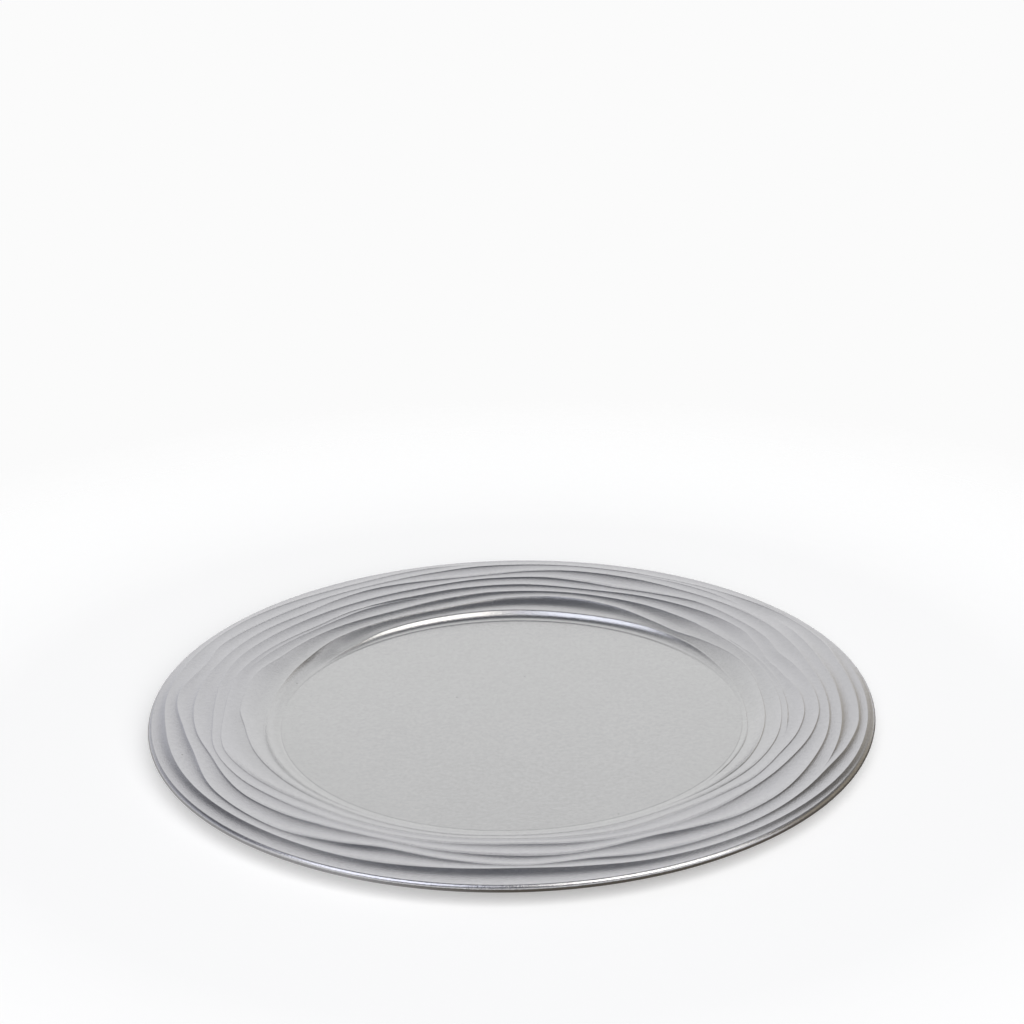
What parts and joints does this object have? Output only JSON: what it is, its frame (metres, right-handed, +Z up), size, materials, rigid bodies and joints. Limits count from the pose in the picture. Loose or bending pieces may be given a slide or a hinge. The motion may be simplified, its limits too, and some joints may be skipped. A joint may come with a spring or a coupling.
{
  "type": "charger plate",
  "caption": "Round satin silver charger plate with a flat floor, a broad rim of wavy ripples and a rolled edge, set under a dinner plate or used to serve.",
  "frame": {"origin": "middle of the plate on the surface that its pads stand on", "axes": "+Z up out of the floor of the plate, -Y towards the viewer of the picture, +X to the viewer's right"},
  "size_m": [0.33, 0.33, 0.0119],
  "materials": {
    "satin_silver": "fine-grained satin silver, neutral, with soft broad reflections",
    "wire_steel": "drawn steel wire, dull",
    "pad_rubber": "matt dark grey rubber"
  },
  "bodies": {
    "root": {"dish": "satin_silver", "rim_wire": "wire_steel", "pad_1": "pad_rubber", "pad_2": "pad_rubber", "pad_3": "pad_rubber", "pad_4": "pad_rubber", "pad_5": "pad_rubber", "pad_6": "pad_rubber"}
  },
  "joints": []
}
